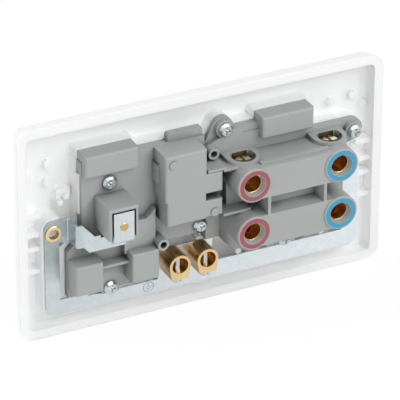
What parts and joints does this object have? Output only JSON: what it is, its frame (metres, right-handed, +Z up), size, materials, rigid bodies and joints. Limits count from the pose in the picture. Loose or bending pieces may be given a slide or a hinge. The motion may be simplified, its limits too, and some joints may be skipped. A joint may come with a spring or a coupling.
{
  "type": "cooker control unit",
  "caption": "Wall plate with a cooker isolator rocker and a switched, shuttered plug socket; grey rear housings, brass clamp terminals and a zinc earth strap.",
  "frame": {"origin": "on the wall plane, midway between the two fixing holes", "axes": "+X right as seen from the room, +Y into the wall, +Z up"},
  "size_m": [0.147, 0.0311, 0.086],
  "materials": {
    "white_moulding": "smooth moulded thermoset, satin gloss",
    "white_rocker": "smooth moulded, satin gloss",
    "grey_moulding": "moulded thermoset, fine matt",
    "nylon": "moulded, matt",
    "zinc_plate": "bright zinc plate on pressed steel",
    "zinc_screw": "zinc plated",
    "spring_steel": "bright spring wire",
    "brass": "turned and pressed brass, slightly dulled",
    "screw_brass": "turned brass",
    "eyelet_brass": "pressed brass",
    "contact_copper": "copper alloy strip with silver-faced button",
    "red_lens": "clear red moulding",
    "lamp_glass": "clear neon bulb",
    "resistor_body": "lacquered"
  },
  "bodies": {
    "unit": {"faceplate": "white_moulding", "shutter_springs": "spring_steel", "cooker_housing": "grey_moulding", "socket_housing": "grey_moulding", "link_cover": "grey_moulding", "housing_screws": "zinc_screw", "earth_strap": "zinc_plate", "strap_eyelets": "eyelet_brass", "load_line_terminal": "brass", "load_neutral_terminal": "brass", "supply_line_terminal": "brass", "supply_neutral_terminal": "brass", "earth_terminal_left": "brass", "earth_terminal_right": "brass", "earth_socket_contact": "brass", "line_socket_contact": "brass", "neutral_socket_contact": "brass", "line_link": "brass", "earth_rivet": "eyelet_brass", "socket_lens": "red_lens", "cooker_lens": "red_lens", "socket_lamp": "lamp_glass", "cooker_lamp": "lamp_glass", "socket_resistor": "resistor_body", "cooker_resistor": "resistor_body"},
    "cooker_rocker": {"cooker_rocker": "white_rocker", "cooker_plungers": "nylon", "cooker_plunger_springs": "spring_steel"},
    "line_contact": {"line_moving_contact": "contact_copper"},
    "neutral_contact": {"neutral_moving_contact": "contact_copper"},
    "socket_rocker": {"socket_rocker": "white_rocker", "socket_plunger": "nylon", "socket_plunger_spring": "spring_steel"},
    "socket_contact": {"socket_moving_contact": "contact_copper"},
    "shutter": {"shutter": "nylon"},
    "load_line_screw": {"load_line_screw": "screw_brass"},
    "load_neutral_screw": {"load_neutral_screw": "screw_brass"},
    "supply_line_screw": {"supply_line_screw": "screw_brass"},
    "supply_neutral_screw": {"supply_neutral_screw": "screw_brass"},
    "earth_screw_left": {"earth_screw_left": "zinc_screw"},
    "earth_screw_right": {"earth_screw_right": "zinc_screw"}
  },
  "joints": [
    {"name": "cooker_rocker_tilt", "type": "hinge", "parent": "unit", "child": "cooker_rocker", "pos_m": [-0.0297, -0.0042, 0.001], "axis": [1, 0, 0], "range_deg": [0, 16]},
    {"name": "line_contact_tilt", "type": "hinge", "parent": "unit", "child": "line_contact", "pos_m": [-0.024, 0.0023, 0.001], "axis": [1, 0, 0], "range_deg": [-16, 0]},
    {"name": "neutral_contact_tilt", "type": "hinge", "parent": "unit", "child": "neutral_contact", "pos_m": [-0.0354, 0.0023, 0.001], "axis": [1, 0, 0], "range_deg": [-16, 0]},
    {"name": "socket_rocker_tilt", "type": "hinge", "parent": "unit", "child": "socket_rocker", "pos_m": [0.0129, -0.0042, 0.013], "axis": [1, 0, 0], "range_deg": [0, 16]},
    {"name": "socket_contact_tilt", "type": "hinge", "parent": "unit", "child": "socket_contact", "pos_m": [0.0129, 0.0023, 0.013], "axis": [1, 0, 0], "range_deg": [-16, 0]},
    {"name": "shutter_slide", "type": "slide", "parent": "unit", "child": "shutter", "axis": [0, 0, 1], "range_m": [0, 0.0056], "stiffness_N_per_m": 100, "springref_m": -0.004, "deforming": ["shutter_springs"]},
    {"name": "load_line_clamp", "type": "slide", "parent": "unit", "child": "load_line_screw", "axis": [0, 0, -1], "range_m": [0, 0.0038]},
    {"name": "load_neutral_clamp", "type": "slide", "parent": "unit", "child": "load_neutral_screw", "axis": [0, 0, -1], "range_m": [0, 0.0038]},
    {"name": "supply_line_clamp", "type": "slide", "parent": "unit", "child": "supply_line_screw", "axis": [0, 0, 1], "range_m": [0, 0.0038]},
    {"name": "supply_neutral_clamp", "type": "slide", "parent": "unit", "child": "supply_neutral_screw", "axis": [0, 0, 1], "range_m": [0, 0.0038]},
    {"name": "earth_screw_left_turn_out", "type": "slide", "parent": "unit", "child": "earth_screw_left", "axis": [0, 0, -1], "range_m": [0, 0.005]},
    {"name": "earth_screw_right_turn_out", "type": "slide", "parent": "unit", "child": "earth_screw_right", "axis": [0, 0, -1], "range_m": [0, 0.005]}
  ],
  "couplings": [
    {"joint": "line_contact_tilt", "follows": "cooker_rocker_tilt", "ratio": -1},
    {"joint": "neutral_contact_tilt", "follows": "cooker_rocker_tilt", "ratio": -1},
    {"joint": "socket_contact_tilt", "follows": "socket_rocker_tilt", "ratio": -1}
  ]
}
